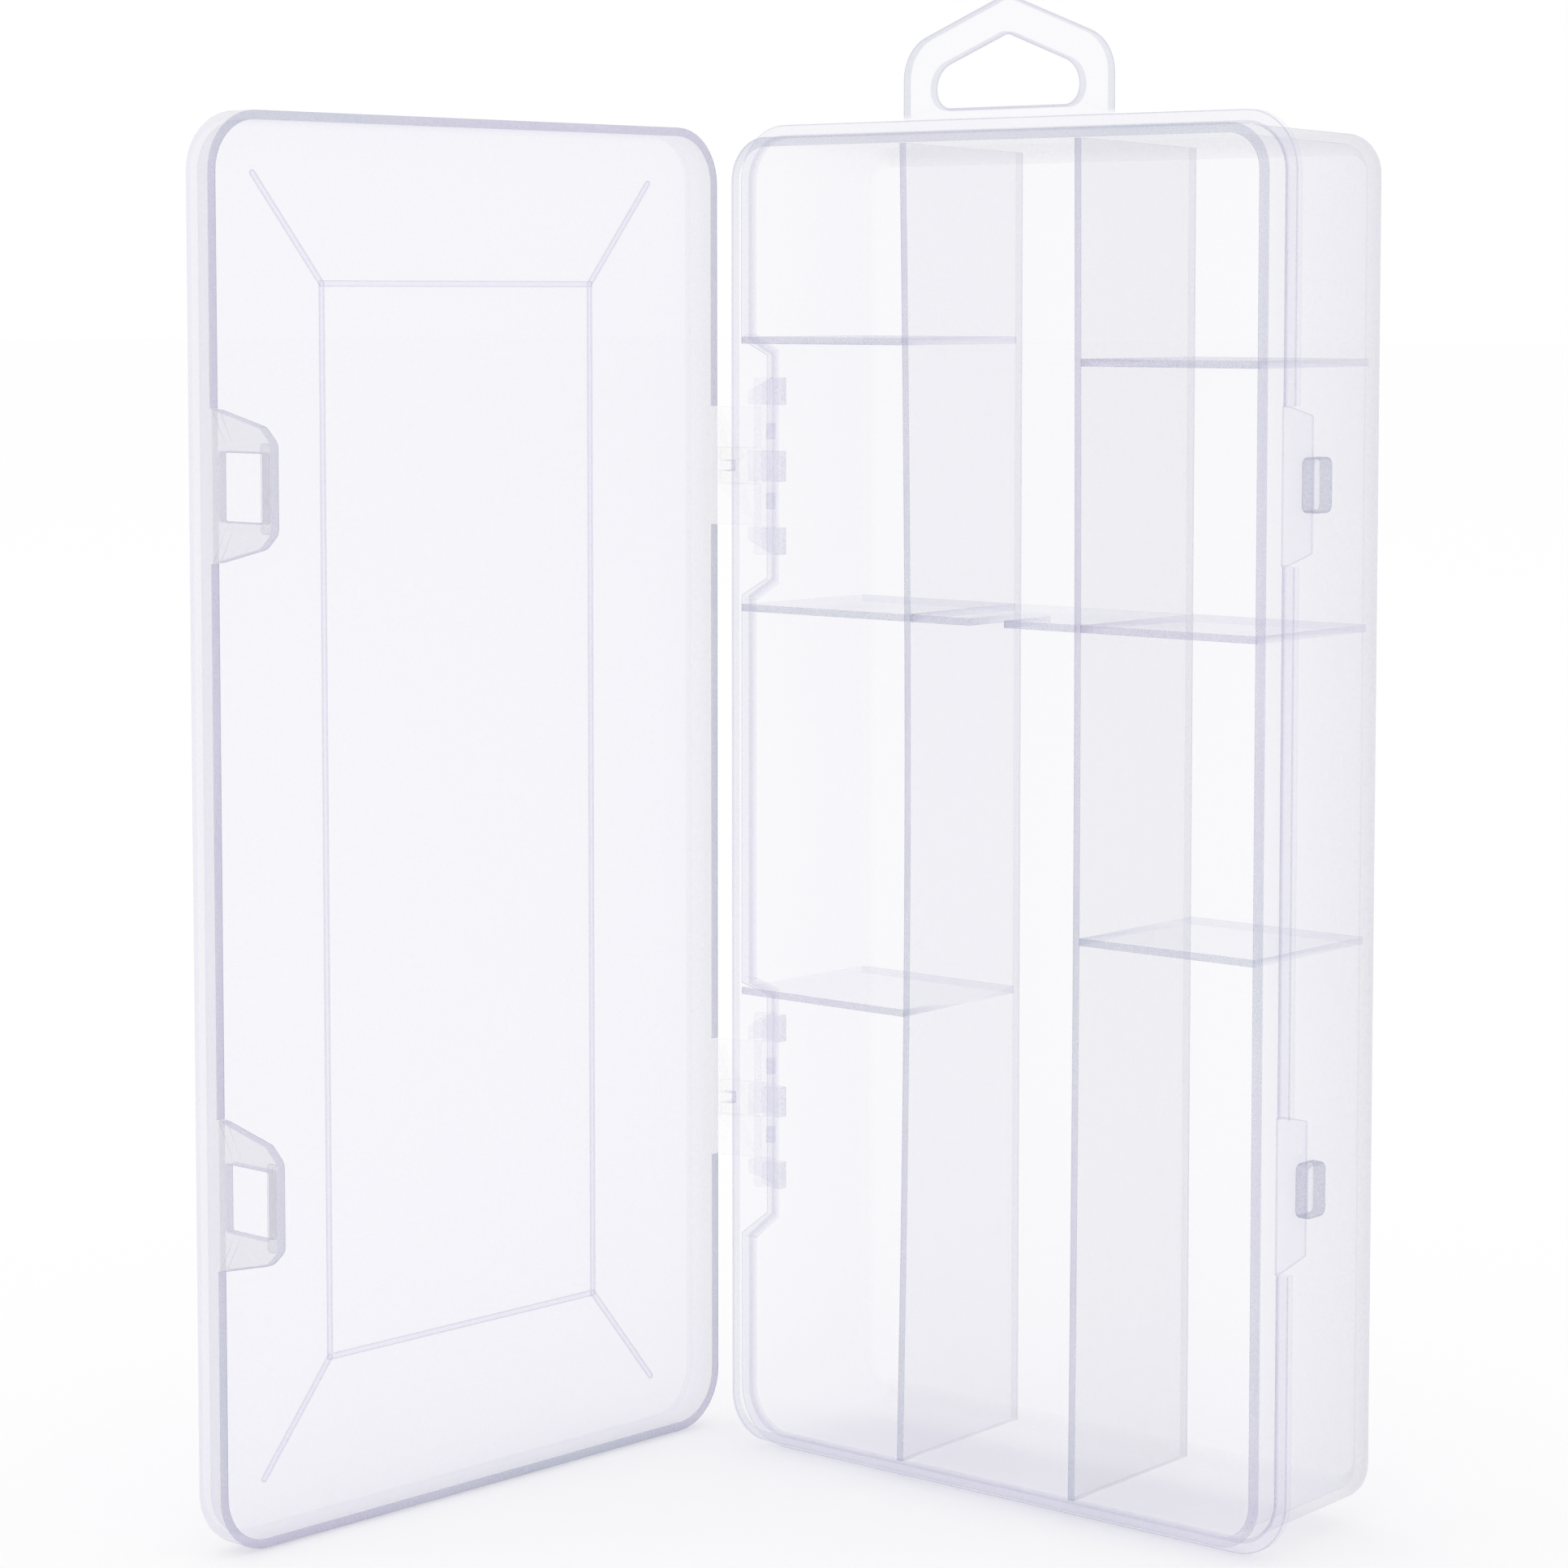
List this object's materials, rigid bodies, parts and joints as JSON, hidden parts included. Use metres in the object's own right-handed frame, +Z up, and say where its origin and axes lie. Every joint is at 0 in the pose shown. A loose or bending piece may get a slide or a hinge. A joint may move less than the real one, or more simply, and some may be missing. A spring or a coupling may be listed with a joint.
{
  "type": "compartment tackle box",
  "caption": "Clear plastic compartment box for fishing tackle, with fixed dividers, a hang tab and a hinged lid that snaps shut on latch tabs.",
  "frame": {"origin": "middle of the lower edge of the tray's rim flange, where the box stands on its short end", "axes": "+Z up, along the box's length to the hang tab; +X from the hinge side to the latch side; +Y from the tray's open front to its back"},
  "size_m": [0.1085, 0.1118, 0.2001],
  "materials": {
    "tray_plastic": "clear, slightly milky moulded polypropylene",
    "lid_plastic": "clear, slightly milky moulded polypropylene"
  },
  "bodies": {
    "tray": {"tray_shell": "tray_plastic", "rim_flange": "tray_plastic", "rim_flange_latch_side": "tray_plastic", "hang_tab": "tray_plastic", "long_divider_left": "tray_plastic", "long_divider_right": "tray_plastic", "cross_divider_left_1": "tray_plastic", "cross_divider_left_2": "tray_plastic", "cross_divider_left_3": "tray_plastic", "cross_divider_right_1": "tray_plastic", "cross_divider_right_2": "tray_plastic", "cross_divider_right_3": "tray_plastic", "cross_divider_middle": "tray_plastic", "latch_catch_upper": "tray_plastic", "latch_catch_lower": "tray_plastic", "hinge_clip_upper_top": "tray_plastic", "hinge_clip_upper_middle": "tray_plastic", "hinge_clip_upper_bottom": "tray_plastic", "hinge_clip_lower_top": "tray_plastic", "hinge_clip_lower_middle": "tray_plastic", "hinge_clip_lower_bottom": "tray_plastic"},
    "lid": {"lid_panel": "lid_plastic", "lid_skirt": "lid_plastic", "lid_ribs": "lid_plastic", "hinge_leaf_upper": "lid_plastic", "hinge_leaf_lower": "lid_plastic", "hinge_pin_upper": "lid_plastic", "hinge_pin_lower": "lid_plastic"},
    "latch_upper": {"latch_tab_upper": "lid_plastic"},
    "latch_lower": {"latch_tab_lower": "lid_plastic"}
  },
  "joints": [
    {"name": "lid_hinge", "type": "hinge", "parent": "tray", "child": "lid", "pos_m": [-0.04792, 0.00588, 0.09215], "axis": [0, 0, -1], "range_deg": [-91.5, 88.5]},
    {"name": "latch_upper_flex", "type": "hinge", "parent": "lid", "child": "latch_upper", "pos_m": [-0.05711, -0.08739, 0.13715], "axis": [0, 0, -1], "range_deg": [0, 12], "stiffness_Nm_per_rad": 0.05},
    {"name": "latch_lower_flex", "type": "hinge", "parent": "lid", "child": "latch_lower", "pos_m": [-0.05711, -0.08739, 0.04715], "axis": [0, 0, -1], "range_deg": [0, 12], "stiffness_Nm_per_rad": 0.05}
  ]
}
